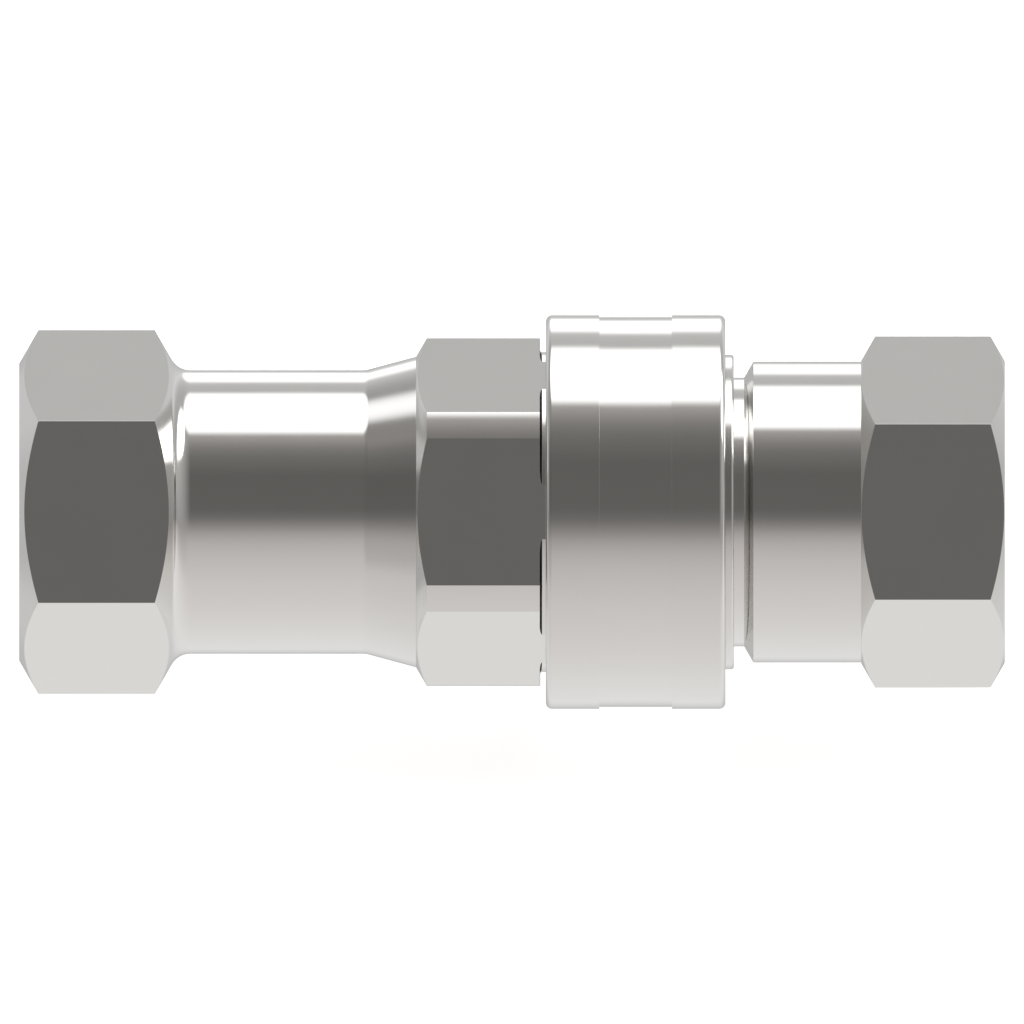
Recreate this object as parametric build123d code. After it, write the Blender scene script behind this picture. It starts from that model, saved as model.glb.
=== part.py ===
from build123d import *
import math
import os

# Quick coupling for hydraulic lines, 1 inch size, shown connected: a coupler half on the left holds
# a nipple half with a ring of locking balls, and a spring-loaded release sleeve keeps the balls in.
# Lengths are in millimetres. The flow axis is X, with the nipple's port at +X. The origin is on the
# axis, halfway between the two port faces. Two flats of every hexagon face up and down, along Z.
# Stations along the axis are counted from the coupler's port face.

# Threaded ports, the same in both halves
port_bore_radius = 16.4
port_depth = 20.0
port_mouth_chamfer = 1.0

# Steps of the flow passage, from the port inwards
chamber_step = 2.0
guide_step = 1.2
seat_step = 3.4

# Hexagons for the wrenches: 46.04 across flats on the adapter and the body, 44.45 on the nipple
adapter_hex_wall = 6.62
nipple_hex_wall = 5.825
body_flat_step = 0.05
hex_chamfer_angle = 30.0
adapter_face_setback = 1.32
body_face_setback = 0.3
nipple_face_setback = 0.1
nipple_port_face_setback = 0.19

# Adapter: the piece that holds the coupler's port
adapter_length = 58.0
adapter_hex_length = 22.65
adapter_neck_wall = 6.32
adapter_shoulder_width = 3.2
adapter_shoulder_angle = 15.0
adapter_root_fillet = 3.2
adapter_flare_fillet = 3.2
spigot_wall = 5.1
spigot_clearance = 0.05
spigot_end_gap = 0.2

# Coupler body: turned from round bar, with a hexagon milled on it
body_hex_length = 18.1
bar_step = 2.43
barrel_length = 28.3
barrel_wall = 3.26
barrel_root_step = 0.39
barrel_root_fillet = 0.35
nose_edge_fillet = 0.4
socket_depth = 24.8
socket_mouth_chamfer = 0.1
body_chamber_land = 2.1

# Nipple: one turned piece from its tip to its port
tip_wall = 5.25
tip_clearance = 0.06
tip_lead_length = 1.4
tip_lead_depth = 0.7
nipple_collar_step = 2.33
nipple_collar_angle = 30.0
nipple_collar_gap = 1.5
nipple_hex_length = 21.0
nipple_passage_length = 5.76
face_gap = 0.4

# Poppet valves, one in each half, mirrored about the plane where their noses meet
seat_land_length = 4.1
poppet_lift = 4.5
poppet_float = 0.5
poppet_overlap = 1.4
poppet_nose_radius = 5.5
poppet_nose_chamfer = 0.5
poppet_rim_length = 2.0
poppet_pilot_clearance = 0.4
poppet_pilot_length = 1.6
stem_radius = 3.0
stem_shoulder_width = 1.2
stem_clearance = 0.05
stem_overrun = 2.0
poppet_seal_wire = 1.5
poppet_seal_proud = 0.12
poppet_seal_clearance = 0.02

# Valve guides: a ring, a hub and the legs between them
guide_length = 7.0
guide_ring_wall = 1.75
guide_ring_length = 4.0
guide_clearance = 0.05
guide_hub_wall = 2.15
guide_flange_margin = 0.8
guide_flange_length = 2.0
guide_leg_width = 3.0
guide_leg_count = 3
snap_ring_groove_depth = 0.8
snap_ring_thickness = 1.2
snap_ring_width = 1.8
snap_ring_gap = 6.0

# Valve springs
valve_spring_length = 17.6
valve_spring_circle = 7.9
valve_spring_wire = 1.8
valve_spring_turns = 4.5

# Locking balls
ball_diameter = 4.762
ball_count = 12
ball_setback = 9.9
ball_hole_clearance = 0.05
ball_land_clearance = 0.05
ball_groove_clearance = 0.11
ball_groove_floor_width = 1.9
ball_release_clearance = 0.29

# Release sleeve
sleeve_wall = 3.15
sleeve_length = 26.21
sleeve_front_setback = 1.24
sleeve_stroke = 6.0
sleeve_overtravel = 0.32
sleeve_edge_fillet = 0.88
sleeve_band_start = 7.8
sleeve_band_length = 10.6
sleeve_band_depth = 0.28
sleeve_land_length = 4.8
skirt_clearance = 0.2
skirt_mouth_chamfer = 0.5

# Parts under the sleeve
sleeve_spring_wire = 1.9
sleeve_spring_turns = 3.0
stop_ring_thickness = 1.2
stop_ring_setback = 2.5
stop_ring_groove_depth = 0.77
stop_ring_clearance = 0.4
stop_ring_gap = 9.0
washer_thickness = 0.8
washer_clearance = 0.25
retaining_wire = 1.6
retaining_groove_clearance = 0.02
retaining_ring_gap = 7.0

# Seals
interface_groove_depth = 1.55
interface_groove_width = 3.6
interface_groove_setback = 16.1
backup_ring_thickness = 1.4
joint_groove_depth = 1.6
joint_groove_width = 2.2
joint_groove_setback = 1.2
seal_clearance = 0.02

# Small gap that keeps stacked faces from sinking into each other
seat_gap = 0.02

# Radii of the flow passage, then of what lies around it, from the inside out
chamber_radius = port_bore_radius - chamber_step
passage_radius = chamber_radius - guide_step
seat_radius = chamber_radius - seat_step
neck_radius = chamber_radius + adapter_neck_wall
spigot_radius = chamber_radius + spigot_wall
counterbore_radius = spigot_radius + spigot_clearance
shoulder_radius = spigot_radius + adapter_shoulder_width
tip_radius = chamber_radius + tip_wall
collar_radius = tip_radius + nipple_collar_step
socket_radius = tip_radius + tip_clearance
barrel_radius = socket_radius + barrel_wall
bar_radius = barrel_radius + bar_step
skirt_radius = bar_radius + skirt_clearance
sleeve_radius = skirt_radius + sleeve_wall
sleeve_spring_circle = (barrel_radius + skirt_radius) / 2
adapter_across_flats = 2 * (port_bore_radius + adapter_hex_wall)
nipple_across_flats = 2 * (port_bore_radius + nipple_hex_wall)
body_across_flats = 2 * (barrel_radius + body_flat_step)
interface_groove_radius = socket_radius + interface_groove_depth
joint_groove_radius = spigot_radius - joint_groove_depth
stop_groove_radius = barrel_radius - stop_ring_groove_depth
snap_groove_radius = chamber_radius + snap_ring_groove_depth

# Radii of the balls and of what holds and frees them
ball_radius = ball_diameter / 2
ball_circle_radius = barrel_radius - ball_radius
ball_groove_radius = ball_circle_radius - ball_radius - ball_groove_clearance
land_radius = barrel_radius + ball_land_clearance
pocket_radius = socket_radius + ball_diameter + ball_release_clearance

# Radii of the valve pieces
poppet_head_radius = seat_radius + poppet_overlap
pilot_radius = valve_spring_circle - valve_spring_wire / 2 - poppet_pilot_clearance
stem_shoulder_radius = stem_radius + stem_shoulder_width
guide_radius = chamber_radius - guide_clearance
guide_window_radius = guide_radius - guide_ring_wall
guide_bore_radius = stem_radius + stem_clearance
guide_hub_radius = guide_bore_radius + guide_hub_wall
guide_flange_radius = valve_spring_circle + valve_spring_wire / 2 + guide_flange_margin

# Stations along the axis
hex_end = adapter_length + body_hex_length
nose_end = hex_end + barrel_length
socket_floor = nose_end - socket_depth
contact_plane = socket_floor + face_gap
ball_station = nose_end - ball_setback
sleeve_front = nose_end - sleeve_front_setback
sleeve_back = sleeve_front - sleeve_length
sleeve_land_front = ball_station - ball_radius - sleeve_overtravel + sleeve_stroke
sleeve_land_back = sleeve_land_front - sleeve_land_length
stop_ring_back = hex_end + stop_ring_setback
stop_ring_front = stop_ring_back + stop_ring_thickness
washer_back = sleeve_land_back - washer_thickness
retaining_ring_station = sleeve_land_front + retaining_wire / 2
interface_groove_front = nose_end - interface_groove_setback
interface_groove_back = interface_groove_front - interface_groove_width

# Depths behind the contact plane, shared by the two valves
seat_edge = face_gap + seat_land_length
seat_cone_end = seat_edge + chamber_radius - seat_radius
poppet_rim_front = seat_edge + poppet_lift + poppet_overlap
poppet_nose_root = poppet_rim_front - (poppet_head_radius - poppet_nose_radius)
poppet_back = poppet_rim_front + poppet_rim_length
guide_front = poppet_back + valve_spring_length
guide_back = guide_front + guide_length
stem_end = guide_back + stem_overrun

# Stations that follow from the valves
spigot_end = contact_plane - seat_cone_end - body_chamber_land
counterbore_floor = spigot_end + spigot_end_gap
joint_groove_front = spigot_end - joint_groove_setback
joint_groove_back = joint_groove_front - joint_groove_width
nipple_front = contact_plane + face_gap
snap_groove_back = contact_plane + guide_back + seat_gap
snap_groove_front = snap_groove_back + snap_ring_thickness + seat_gap
nipple_port_floor = snap_groove_front + nipple_passage_length
overall_length = nipple_port_floor + port_depth
nipple_hex_start = overall_length - nipple_hex_length


def station(distance):
    return distance - overall_length / 2


# Solid of revolution about the flow axis. Each corner is (station, radius) or
# (station, radius, fillet), and the outline closes on itself.
def turned(corners):
    points = [(station(corner[0]), corner[1]) for corner in corners]
    fillets = [corner[2] if len(corner) == 3 else 0 for corner in corners]
    return revolve(make_face(FilletPolyline(*points, radius=fillets, close=True)), Axis.X, 360)


def ring(inner, outer, start, end):
    return turned([(start, inner), (end, inner), (end, outer), (start, outer)])


def hex_corner_radius(across_flats):
    return across_flats / 2 / math.cos(math.pi / 6)


# Length of a hexagon's chamfer, from a face of a given radius up to the corners.
def hex_chamfer_length(face_radius, corner_radius):
    return (corner_radius - face_radius) * math.tan(math.radians(hex_chamfer_angle))


# Mills six flats on a turned piece between two stations.
def with_flats(solid, across_flats, start, end):
    outline = Plane.YZ.offset(station(start)) * RegularPolygon(across_flats / 2, 6, major_radius=False)
    waste = Pos(station((start + end) / 2), 0, 0) * Rot(0, 90, 0) * Cylinder(across_flats, end - start)
    return solid - (waste - extrude(outline, end - start))


def wire_ring(circle_radius, wire_radius, distance):
    return Pos(station(distance), 0, 0) * Rot(0, 90, 0) * Torus(circle_radius, wire_radius)


# Opens a ring at the bottom, as a spring ring has to be to go into its groove.
def split_ring(whole, gap, start, end, reach):
    cutter = Pos(station((start + end) / 2), 0, -reach / 2) * Box(2 * (end - start), gap, reach)
    return whole - cutter


# Round wire on a helix. The wire's middle lies on the end planes at its two ends, so that grinding
# the ends flat leaves half of the wire there.
def coil_spring(start, end, circle_radius, wire, turns):
    pitch = (end - start) / turns
    first = (station(start), 0, 0)
    path = Helix(pitch, end - start, circle_radius, center=first, direction=(1, 0, 0))
    section = Plane(origin=path @ 0, z_dir=path % 0) * Circle(wire / 2)
    coil = sweep(section, path=path, is_frenet=True)
    room = 2 * (circle_radius + wire)
    return coil & Pos(station((start + end) / 2), 0, 0) * Box(end - start, room, room)


# Adapter: hexagon with a threaded port, a neck that flares to a shoulder, and a spigot that screws
# into the coupler body. The valve guide stands on the step inside it.
def make_adapter():
    corner = hex_corner_radius(adapter_across_flats)
    face_radius = adapter_across_flats / 2 - adapter_face_setback
    chamfer = hex_chamfer_length(face_radius, corner)
    chamfer_foot = adapter_hex_length - chamfer + hex_chamfer_length(neck_radius, corner)
    flare = adapter_length - (shoulder_radius - neck_radius) / math.tan(math.radians(adapter_shoulder_angle))
    guide_rest = contact_plane - guide_back - seat_gap
    solid = turned(
        [
            (0, port_bore_radius + port_mouth_chamfer),
            (0, face_radius),
            (chamfer, corner),
            (adapter_hex_length - chamfer, corner),
            (chamfer_foot, neck_radius, adapter_root_fillet),
            (flare, neck_radius, adapter_flare_fillet),
            (adapter_length, shoulder_radius),
            (adapter_length, spigot_radius),
            (joint_groove_back, spigot_radius),
            (joint_groove_back, joint_groove_radius),
            (joint_groove_front, joint_groove_radius),
            (joint_groove_front, spigot_radius),
            (spigot_end, spigot_radius),
            (spigot_end, chamber_radius),
            (guide_rest, chamber_radius),
            (guide_rest, passage_radius),
            (port_depth + port_bore_radius - passage_radius, passage_radius),
            (port_depth, port_bore_radius),
            (port_mouth_chamfer, port_bore_radius),
        ]
    )
    return with_flats(solid, adapter_across_flats, 0, adapter_hex_length)


# Coupler body: hexagon milled on round bar, so its corners are truncated, then the barrel that the
# sleeve runs on, with the valve seat, the socket for the nipple and the ball holes.
def make_body():
    root_radius = barrel_radius + barrel_root_step
    face_radius = body_across_flats / 2 - body_face_setback
    chamfer = hex_chamfer_length(face_radius, bar_radius)
    solid = turned(
        [
            (adapter_length, counterbore_radius),
            (adapter_length, face_radius),
            (adapter_length + chamfer, bar_radius),
            (hex_end, bar_radius),
            (hex_end, root_radius, barrel_root_fillet),
            (stop_ring_back - seat_gap, root_radius),
            (stop_ring_back - seat_gap, stop_groove_radius),
            (stop_ring_front + seat_gap, stop_groove_radius),
            (stop_ring_front + seat_gap, barrel_radius),
            (nose_end, barrel_radius, nose_edge_fillet),
            (nose_end, socket_radius + socket_mouth_chamfer),
            (nose_end - socket_mouth_chamfer, socket_radius),
            (interface_groove_front, socket_radius),
            (interface_groove_front, interface_groove_radius),
            (interface_groove_back, interface_groove_radius),
            (interface_groove_back, socket_radius),
            (socket_floor, socket_radius),
            (socket_floor, seat_radius),
            (contact_plane - seat_edge, seat_radius),
            (contact_plane - seat_cone_end, chamber_radius),
            (counterbore_floor, chamber_radius),
            (counterbore_floor, counterbore_radius),
        ]
    )
    solid = with_flats(solid, body_across_flats, adapter_length, stop_ring_back)
    hole_radius = ball_radius + ball_hole_clearance
    drill = Cylinder(hole_radius, ball_diameter, align=(Align.CENTER, Align.CENTER, Align.MIN))
    hole = Pos(station(ball_station), 0, ball_circle_radius) * (Sphere(hole_radius) + drill)
    for index in range(ball_count):
        solid -= Rot(ball_angle(index), 0, 0) * hole
    groove_wire = retaining_wire / 2 + retaining_groove_clearance
    return solid - wire_ring(barrel_radius, groove_wire, retaining_ring_station)


def ball_angle(index):
    return 360 / ball_count * (index + 0.5)


def make_balls():
    ball = Pos(station(ball_station), 0, ball_circle_radius) * Sphere(ball_radius)
    return Compound(children=[Rot(ball_angle(index), 0, 0) * ball for index in range(ball_count)])


# Release sleeve: a skirt that covers the spring and clears the hexagon's corners, a land that holds
# the balls in, and a pocket that frees them when the sleeve is drawn back.
def make_sleeve():
    band_end = sleeve_back + sleeve_band_start + sleeve_band_length
    band_radius = sleeve_radius - sleeve_band_depth
    return turned(
        [
            (sleeve_back, skirt_radius + skirt_mouth_chamfer),
            (sleeve_back, sleeve_radius, sleeve_edge_fillet),
            (sleeve_back + sleeve_band_start, sleeve_radius),
            (sleeve_back + sleeve_band_start, band_radius),
            (band_end, band_radius),
            (band_end, sleeve_radius),
            (sleeve_front, sleeve_radius, sleeve_edge_fillet),
            (sleeve_front, pocket_radius),
            (sleeve_land_front, pocket_radius),
            (sleeve_land_front, land_radius),
            (sleeve_land_back, land_radius),
            (sleeve_land_back, skirt_radius),
            (sleeve_back + skirt_mouth_chamfer, skirt_radius),
        ]
    )


def make_sleeve_spring():
    start = stop_ring_front + seat_gap
    end = washer_back - seat_gap
    return coil_spring(start, end, sleeve_spring_circle, sleeve_spring_wire, sleeve_spring_turns)


def make_stop_ring():
    outer = skirt_radius - stop_ring_clearance
    whole = ring(stop_groove_radius + seat_gap, outer, stop_ring_back, stop_ring_front)
    return split_ring(whole, stop_ring_gap, stop_ring_back, stop_ring_front, 2 * outer)


def make_thrust_washer():
    inner = barrel_radius + washer_clearance
    outer = skirt_radius - washer_clearance
    return ring(inner, outer, washer_back, sleeve_land_back - seat_gap)


def make_retaining_ring():
    start = sleeve_land_front
    whole = wire_ring(barrel_radius, retaining_wire / 2, retaining_ring_station)
    return split_ring(whole, retaining_ring_gap, start, start + retaining_wire, 2 * pocket_radius)


# Seal of round section that fills the space between two radii, less a small clearance.
def round_seal(inner, outer, distance):
    wire_radius = (outer - inner) / 2 - seal_clearance
    return wire_ring((inner + outer) / 2, wire_radius, distance)


def make_interface_seal():
    middle = interface_groove_back + (interface_groove_width - backup_ring_thickness) / 2
    return round_seal(tip_radius, interface_groove_radius, middle)


def make_backup_ring():
    inner = tip_radius + seal_clearance
    outer = interface_groove_radius - seal_clearance
    front = interface_groove_front - seal_clearance
    return ring(inner, outer, front - backup_ring_thickness, front)


def make_joint_seal():
    middle = (joint_groove_back + joint_groove_front) / 2
    return round_seal(joint_groove_radius, counterbore_radius, middle)


# Nipple: tip with the ball groove, collar, hexagon with a threaded port, and the valve seat inside.
def make_nipple():
    corner = hex_corner_radius(nipple_across_flats)
    face_radius = nipple_across_flats / 2 - nipple_face_setback
    port_face_radius = nipple_across_flats / 2 - nipple_port_face_setback
    chamfer = hex_chamfer_length(face_radius, corner)
    port_chamfer = hex_chamfer_length(port_face_radius, corner)
    half_floor = ball_groove_floor_width / 2
    half_top = half_floor + tip_radius - ball_groove_radius
    collar_start = nose_end + nipple_collar_gap
    collar_rise = nipple_collar_step * math.tan(math.radians(nipple_collar_angle))
    solid = turned(
        [
            (nipple_front, seat_radius),
            (nipple_front, tip_radius - tip_lead_depth),
            (nipple_front + tip_lead_length, tip_radius),
            (ball_station - half_top, tip_radius),
            (ball_station - half_floor, ball_groove_radius),
            (ball_station + half_floor, ball_groove_radius),
            (ball_station + half_top, tip_radius),
            (collar_start, tip_radius),
            (collar_start + collar_rise, collar_radius),
            (nipple_hex_start, collar_radius),
            (nipple_hex_start, face_radius),
            (nipple_hex_start + chamfer, corner),
            (overall_length - port_chamfer, corner),
            (overall_length, port_face_radius),
            (overall_length, port_bore_radius + port_mouth_chamfer),
            (overall_length - port_mouth_chamfer, port_bore_radius),
            (nipple_port_floor, port_bore_radius),
            (nipple_port_floor - chamber_step, chamber_radius),
            (snap_groove_front, chamber_radius),
            (snap_groove_front, snap_groove_radius),
            (snap_groove_back, snap_groove_radius),
            (snap_groove_back, chamber_radius),
            (contact_plane + seat_cone_end, chamber_radius),
            (contact_plane + seat_edge, seat_radius),
        ]
    )
    return with_flats(solid, nipple_across_flats, nipple_hex_start, overall_length)


# The valve pieces are made for the coupler, where depth is counted back from the contact plane.
def behind(depth):
    return contact_plane - depth


def mirrored(piece):
    return piece.mirror(Plane.YZ.offset(station(contact_plane)))


# Radius and depth of the seal that sits in the poppet's cone.
def poppet_seal_place():
    inset = poppet_seal_wire / 2 - poppet_seal_proud
    along = poppet_overlap / 2
    depth = poppet_rim_front - along + inset * math.sqrt(0.5)
    return poppet_head_radius - along - inset * math.sqrt(0.5), depth


def make_poppet():
    seal_circle, seal_depth = poppet_seal_place()
    solid = turned(
        [
            (behind(0), 0),
            (behind(0), poppet_nose_radius - poppet_nose_chamfer),
            (behind(poppet_nose_chamfer), poppet_nose_radius),
            (behind(poppet_nose_root), poppet_nose_radius),
            (behind(poppet_rim_front), poppet_head_radius),
            (behind(poppet_back), poppet_head_radius),
            (behind(poppet_back), pilot_radius),
            (behind(poppet_back + poppet_pilot_length), pilot_radius),
            (behind(poppet_back + poppet_pilot_length), stem_shoulder_radius),
            (behind(guide_front - poppet_float), stem_shoulder_radius),
            (behind(guide_front - poppet_float), stem_radius),
            (behind(stem_end), stem_radius),
            (behind(stem_end), 0),
        ]
    )
    groove = wire_ring(seal_circle, poppet_seal_wire / 2 + poppet_seal_clearance, behind(seal_depth))
    return solid - groove


def make_poppet_seal():
    seal_circle, seal_depth = poppet_seal_place()
    return wire_ring(seal_circle, poppet_seal_wire / 2, behind(seal_depth))


def make_valve_spring():
    start = behind(guide_front - seat_gap)
    end = behind(poppet_back + seat_gap)
    return coil_spring(start, end, valve_spring_circle, valve_spring_wire, valve_spring_turns)


def make_valve_guide():
    back = behind(guide_back)
    front = behind(guide_front)
    guide = ring(guide_window_radius, guide_radius, back, back + guide_ring_length)
    guide += ring(guide_bore_radius, guide_hub_radius, back, front)
    guide += ring(guide_bore_radius, guide_flange_radius, front - guide_flange_length, front)
    leg_start = (guide_hub_radius + guide_bore_radius) / 2
    leg_end = guide_radius - guide_ring_wall / 2
    leg_length = guide_length - guide_flange_length / 2
    leg = Box(leg_length, guide_leg_width, leg_end - leg_start)
    leg = Pos(station(back) + leg_length / 2, 0, (leg_start + leg_end) / 2) * leg
    for index in range(guide_leg_count):
        guide += Rot(360 / guide_leg_count * index, 0, 0) * leg
    return guide


def make_guide_snap_ring():
    start = snap_groove_back + seat_gap
    end = snap_groove_front - seat_gap
    outer = snap_groove_radius - seat_gap
    whole = ring(outer - snap_ring_width, outer, start, end)
    return split_ring(whole, snap_ring_gap, start, end, 2 * outer)


pieces = {
    "coupler_adapter": make_adapter(),
    "coupler_body": make_body(),
    "locking_balls": make_balls(),
    "release_sleeve": make_sleeve(),
    "sleeve_spring": make_sleeve_spring(),
    "sleeve_spring_stop_ring": make_stop_ring(),
    "sleeve_thrust_washer": make_thrust_washer(),
    "sleeve_retaining_ring": make_retaining_ring(),
    "interface_seal": make_interface_seal(),
    "interface_backup_ring": make_backup_ring(),
    "adapter_joint_seal": make_joint_seal(),
    "nipple_body": make_nipple(),
    "coupler_poppet": make_poppet(),
    "coupler_poppet_seal": make_poppet_seal(),
    "coupler_valve_spring": make_valve_spring(),
    "coupler_valve_guide": make_valve_guide(),
    "nipple_poppet": mirrored(make_poppet()),
    "nipple_poppet_seal": mirrored(make_poppet_seal()),
    "nipple_valve_spring": mirrored(make_valve_spring()),
    "nipple_valve_guide": mirrored(make_valve_guide()),
    "nipple_guide_snap_ring": make_guide_snap_ring(),
}

os.makedirs("parts", exist_ok=True)
for name, piece in pieces.items():
    export_step(piece, "parts/" + name + ".step")
print("overall length", round(overall_length, 3), "contact plane at", round(contact_plane, 3))
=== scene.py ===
import math

import bpy
import numpy as np
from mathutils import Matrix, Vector


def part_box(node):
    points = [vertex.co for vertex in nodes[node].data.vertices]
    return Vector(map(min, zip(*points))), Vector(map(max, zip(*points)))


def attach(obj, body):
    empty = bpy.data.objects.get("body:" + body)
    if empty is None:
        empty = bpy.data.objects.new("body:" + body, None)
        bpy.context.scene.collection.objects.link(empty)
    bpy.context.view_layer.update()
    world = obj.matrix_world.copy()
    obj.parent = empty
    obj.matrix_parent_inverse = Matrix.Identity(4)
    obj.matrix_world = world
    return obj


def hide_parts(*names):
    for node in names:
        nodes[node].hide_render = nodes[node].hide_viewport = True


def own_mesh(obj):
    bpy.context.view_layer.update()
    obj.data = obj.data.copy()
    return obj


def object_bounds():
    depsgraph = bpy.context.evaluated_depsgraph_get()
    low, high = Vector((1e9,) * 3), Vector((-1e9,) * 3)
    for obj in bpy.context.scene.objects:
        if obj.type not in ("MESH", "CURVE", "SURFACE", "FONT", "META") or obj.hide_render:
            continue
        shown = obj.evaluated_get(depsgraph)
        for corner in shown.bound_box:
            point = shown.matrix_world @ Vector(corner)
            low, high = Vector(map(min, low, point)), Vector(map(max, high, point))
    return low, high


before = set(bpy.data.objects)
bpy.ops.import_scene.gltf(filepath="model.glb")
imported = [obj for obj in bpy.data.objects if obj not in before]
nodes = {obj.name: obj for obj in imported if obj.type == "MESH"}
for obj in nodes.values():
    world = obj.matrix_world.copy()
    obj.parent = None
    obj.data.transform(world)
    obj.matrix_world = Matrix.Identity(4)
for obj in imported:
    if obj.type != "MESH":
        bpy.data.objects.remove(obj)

# Quick coupling for hydraulic lines, two halves connected, lying on a pale floor. The four outer pieces
# are made again here with fine edges, the ports get their threads, and the springs are copies hung on
# their bodies. Everything else under the sleeve keeps its imported mesh.
scene = bpy.context.scene
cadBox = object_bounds()
mm = 0.001
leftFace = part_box("coupler_adapter")[0].x / mm  # lengths in the dictionaries count from here
columnStep = 1.5  # degrees between the columns of points round the axis
hexSector = 60.0
noLimit = 1000.0  # a radius that no outline reaches
chamferSlope = math.tan(math.radians(60))  # a wrench hexagon's chamfers, 30 degrees off its face


def linear(hexColour):
    parts = [int(hexColour[at:at + 2], 16) / 255 for at in (1, 3, 5)]
    return [part / 12.92 if part <= 0.04045 else ((part + 0.055) / 1.055) ** 2.4 for part in parts] + [1.0]


def addNode(tree, kind, settings=None, inputs=None):
    made = tree.nodes.new(kind)
    for key, value in (settings or {}).items():
        setattr(made, key, value)
    for key, value in (inputs or {}).items():
        if isinstance(value, bpy.types.NodeSocket):
            tree.links.new(value, made.inputs[key])
        else:
            made.inputs[key].default_value = value
    return made


def maths(tree, operation, *values):
    return addNode(tree, "ShaderNodeMath", {"operation": operation}, dict(enumerate(values))).outputs[0]


def vectorMaths(tree, operation, inputs):
    return addNode(tree, "ShaderNodeVectorMath", {"operation": operation}, inputs).outputs


def noise(tree, place, scale, detail):
    inputs = {"Vector": place, "Scale": scale, "Detail": detail}
    return addNode(tree, "ShaderNodeTexNoise", inputs=inputs).outputs[0]


def blendColours(tree, share, first, second):
    return addNode(tree, "ShaderNodeMix", {"data_type": "RGBA"}, {0: share, 6: first, 7: second}).outputs[2]


# Stretches a value between two limits, given as (low, high), over another two.
def spread(tree, value, before, after, settings=None):
    limits = dict(zip(("From Min", "From Max", "To Min", "To Max"), (*before, *after)))
    return addNode(tree, "ShaderNodeMapRange", settings, {"Value": value, **limits}).outputs[0]


def newMaterial(name):
    material = bpy.data.materials.new(name)
    material.use_nodes = True
    material.node_tree.nodes.clear()
    return material, material.node_tree


def newObject(name, mesh):
    made = bpy.data.objects.new(name, mesh)
    scene.collection.objects.link(made)
    return made


arcPoints = [(0.2, 3), (1.5, 9), (math.inf, 17)]  # a fillet below each radius, in mm, gets so many points
spareRoom = 0.1  # mm of straight line that a real fillet leaves
breakShare = 0.49  # the most of a line that a broken edge takes


# Points of a closed outline. A corner is (station, radius) with a broken edge, (station, radius, fillet)
# with a real fillet, or (station, radius, 0) where the line only gets a point. Each point of the result
# is station, radius and the two parts of the outline's direction there.
def outlinePoints(corners, edgeBreak):
    points = []
    for index, corner in enumerate(corners):
        here = np.array(corner[:2], float)
        into = here - np.array(corners[index - 1][:2])
        away = np.array(corners[(index + 1) % len(corners)][:2]) - here
        room = min(np.linalg.norm(into), np.linalg.norm(away))
        into, away = into / np.linalg.norm(into), away / np.linalg.norm(away)
        fillet = corner[2] if len(corner) == 3 else edgeBreak
        if fillet == 0:
            points.append((*here, *into))
            continue
        turn = math.acos(np.clip(into @ away, -1, 1))
        side = away - into * (into @ away)
        side = side / np.linalg.norm(side)
        most = room - spareRoom if len(corner) == 3 else breakShare * room
        reach = min(fillet * math.tan(turn / 2), most)
        radius = reach / math.tan(turn / 2)
        steps = next(count for limit, count in arcPoints if fillet < limit)
        for angle in np.linspace(0, turn, steps):
            sine, cosine = math.sin(angle), math.cos(angle)
            spot = here - into * reach + into * radius * sine + side * radius * (1 - cosine)
            points.append((*spot, *(into * cosine + side * sine)))
    return np.array(points)


# Columns of a round piece: the angle from the top, and a limit on the radius that doesn't bite.
def roundColumns():
    return [(math.radians(angle), noLimit, 0.0) for angle in np.arange(0, 360, columnStep)]


cornerShares = (-0.67, -0.33, 0.0, 0.33, 0.67)  # columns on a rounded corner, from one side to the other
crispTurn = 0.04  # degrees from a sharp edge to the columns beside it


# Columns of a hexagon with two flats up and down: the angle, the radius of the flat or corner there, and
# how fast that radius changes. Corners are rounded, or cut back by the round bar that they came from.
def hexColumns(flats, rounding=0.0, bar=0.0, extra=()):
    apothem = flats / 2
    half = math.radians(hexSector / 2)
    grid = [math.radians(angle) for angle in np.arange(columnStep - hexSector / 2, hexSector / 2, columnStep)]
    sector = []
    if bar:
        edge, crisp = math.acos(apothem / bar), math.radians(crispTurn)
        onFlat = [beta for beta in grid if abs(beta) < edge - crisp] + [edge - crisp, crisp - edge]
        onFlat += [side * beta for beta in extra for side in (-1, 1)]
        onBar = [beta for beta in grid + [half] if abs(beta) > edge + crisp] + [edge + crisp, -edge - crisp]
        sector += [(beta, bar, 0.0) for beta in onBar]
    else:
        centre = (apothem - rounding) / math.cos(half)
        edge = math.atan((apothem - rounding) * math.tan(half) / apothem)
        onFlat = [beta for beta in grid if abs(beta) < edge] + [edge, -edge]
        for share in cornerShares:
            alpha = share * (half - edge)
            root = math.sqrt(rounding ** 2 - (centre * math.sin(alpha)) ** 2)
            slope = -centre * math.sin(alpha) - centre ** 2 * math.sin(alpha) * math.cos(alpha) / root
            sector.append((half + alpha, centre * math.cos(alpha) + root, slope))
    for beta in onFlat:
        sector.append((beta, apothem / math.cos(beta), apothem * math.sin(beta) / math.cos(beta) ** 2))
    sector.sort()
    turns = [math.radians(hexSector * turn) for turn in range(6)]
    return [(turn + beta, limit, slope) for turn in turns for beta, limit, slope in sector]


slopeStep = 0.002  # mm, the change of the limit that shows how the outline drifts with it
flatTolerance = 0.01  # mm off the flat, and the part of a face's normal along the axis
cornerMargin = 0.5  # degrees next to a corner that aren't taken as the flat


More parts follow.
